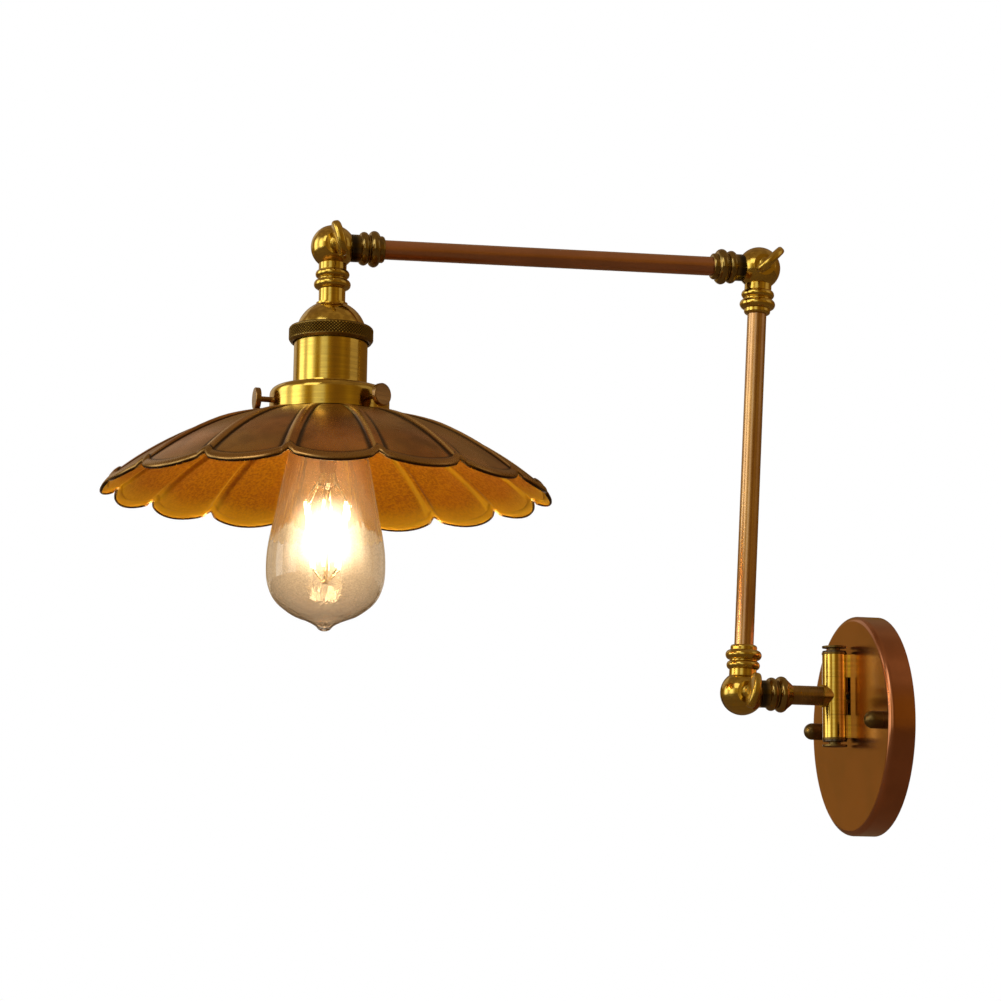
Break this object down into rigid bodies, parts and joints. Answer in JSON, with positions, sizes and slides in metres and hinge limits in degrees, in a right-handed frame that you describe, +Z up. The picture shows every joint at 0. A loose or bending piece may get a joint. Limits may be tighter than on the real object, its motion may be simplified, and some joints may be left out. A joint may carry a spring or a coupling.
{
  "type": "adjustable wall lamp",
  "caption": "Swing-arm wall lamp with a round canopy, jointed tubes with thumb-key swivels, a knurled lampholder, a scalloped petal shade and a filament bulb.",
  "frame": {"origin": "centre of the canopy's back face on the wall, at the cable hole of the strap", "axes": "+Z up, +Y into the wall, -Y into the room along the arm at rest"},
  "size_m": [0.2392, 0.4263, 0.3263],
  "materials": {
    "canopy_copper": "satin copper-brown",
    "tube_copper": "satin copper-brown",
    "polished_brass": "polished",
    "dark_brass": "dark antique",
    "shade_bronze": "dark bronze outside, golden inside",
    "plated_steel": "plated",
    "insulation": "matt black",
    "insulator": "glazed",
    "connector": "matt",
    "clear_glass": "clear",
    "filament": "glowing"
  },
  "bodies": {
    "wall_mount": {"canopy": "canopy_copper", "wall_strap": "plated_steel", "strap_studs": "plated_steel", "stud_nuts": "plated_steel", "cap_nuts": "dark_brass", "hinge_bracket": "polished_brass", "bracket_nipple": "polished_brass", "bracket_nut": "plated_steel", "terminal_block": "connector", "terminal_screws": "polished_brass", "earth_screw": "polished_brass", "supply_lead": "insulation"},
    "short_arm": {"swing_knuckle": "polished_brass", "hinge_pins": "polished_brass", "hinge_washers": "polished_brass", "retaining_clips": "plated_steel", "short_tube": "tube_copper", "lower_swivel_back": "polished_brass", "lower_swivel_washer": "dark_brass", "short_arm_lead": "insulation"},
    "riser": {"lower_swivel_front": "polished_brass", "riser_tube": "tube_copper", "upper_swivel_front": "polished_brass", "riser_lead": "insulation"},
    "boom": {"upper_swivel_back": "polished_brass", "boom_tube": "tube_copper", "head_swivel_back": "polished_brass", "boom_washers": "dark_brass", "boom_lead": "insulation"},
    "head": {"head_swivel_front": "polished_brass", "socket_cap": "polished_brass", "dome_nut": "plated_steel", "socket_shell": "polished_brass", "lampholder_body": "insulator", "screw_shell": "polished_brass", "centre_contact": "polished_brass", "contact_screws": "polished_brass", "head_lead": "insulation", "gallery": "polished_brass", "gallery_ring": "plated_steel", "shade": "shade_bronze"},
    "ring": {"knurled_ring": "dark_brass"},
    "bulb": {"bulb_glass": "clear_glass", "bulb_cap": "plated_steel", "bulb_contact": "insulator", "bulb_stem": "clear_glass", "bulb_filaments": "filament", "bulb_supports": "plated_steel"},
    "lower_thumb_key": {"lower_key": "polished_brass"},
    "upper_thumb_key": {"upper_key": "polished_brass"},
    "head_thumb_key": {"head_key": "polished_brass"},
    "front_shade_screw": {"shade_screw_front": "polished_brass"},
    "left_shade_screw": {"shade_screw_left": "polished_brass"},
    "back_shade_screw": {"shade_screw_back": "polished_brass"}
  },
  "joints": [
    {"name": "wall_swing", "type": "hinge", "parent": "wall_mount", "child": "short_arm", "pos_m": [0, -0.0229, 0.016], "axis": [0, 0, 1], "range_deg": [-60, 60]},
    {"name": "riser_tilt", "type": "hinge", "parent": "short_arm", "child": "riser", "pos_m": [0, -0.0762, 0.016], "axis": [1, 0, 0], "range_deg": [-8, 75]},
    {"name": "boom_tilt", "type": "hinge", "parent": "riser", "child": "boom", "pos_m": [0, -0.0658, 0.25427], "axis": [1, 0, 0], "range_deg": [-60, 8]},
    {"name": "head_tilt", "type": "hinge", "parent": "boom", "child": "head", "pos_m": [0, -0.30674, 0.24923], "axis": [1, 0, 0], "range_deg": [-75, 10]},
    {"name": "lower_key_turn", "type": "hinge", "parent": "short_arm", "child": "lower_thumb_key", "pos_m": [0, -0.0762, 0.016], "axis": [1, 0, 0], "continuous": true},
    {"name": "upper_key_turn", "type": "hinge", "parent": "boom", "child": "upper_thumb_key", "pos_m": [0, -0.0658, 0.25427], "axis": [1, 0, 0], "continuous": true},
    {"name": "head_key_turn", "type": "hinge", "parent": "boom", "child": "head_thumb_key", "pos_m": [0, -0.30674, 0.24923], "axis": [1, 0, 0], "continuous": true},
    {"name": "ring_turn", "type": "hinge", "parent": "head", "child": "ring", "pos_m": [0, -0.30674, 0.20063], "axis": [0, 0, -1], "continuous": true},
    {"name": "bulb_turn", "type": "hinge", "parent": "head", "child": "bulb", "pos_m": [0, -0.30674, 0.17123], "axis": [0, 0, -1], "continuous": true},
    {"name": "front_screw_turn", "type": "hinge", "parent": "head", "child": "front_shade_screw", "pos_m": [0.02487, -0.28997, 0.16323], "axis": [0.829, 0.5592, 0], "continuous": true},
    {"name": "back_screw_turn", "type": "hinge", "parent": "head", "child": "back_shade_screw", "pos_m": [-0.02696, -0.29359, 0.16323], "axis": [-0.8988, 0.4384, 0], "continuous": true},
    {"name": "left_screw_turn", "type": "hinge", "parent": "head", "child": "left_shade_screw", "pos_m": [0.00209, -0.33667, 0.16323], "axis": [0.0698, -0.9976, 0], "continuous": true}
  ]
}
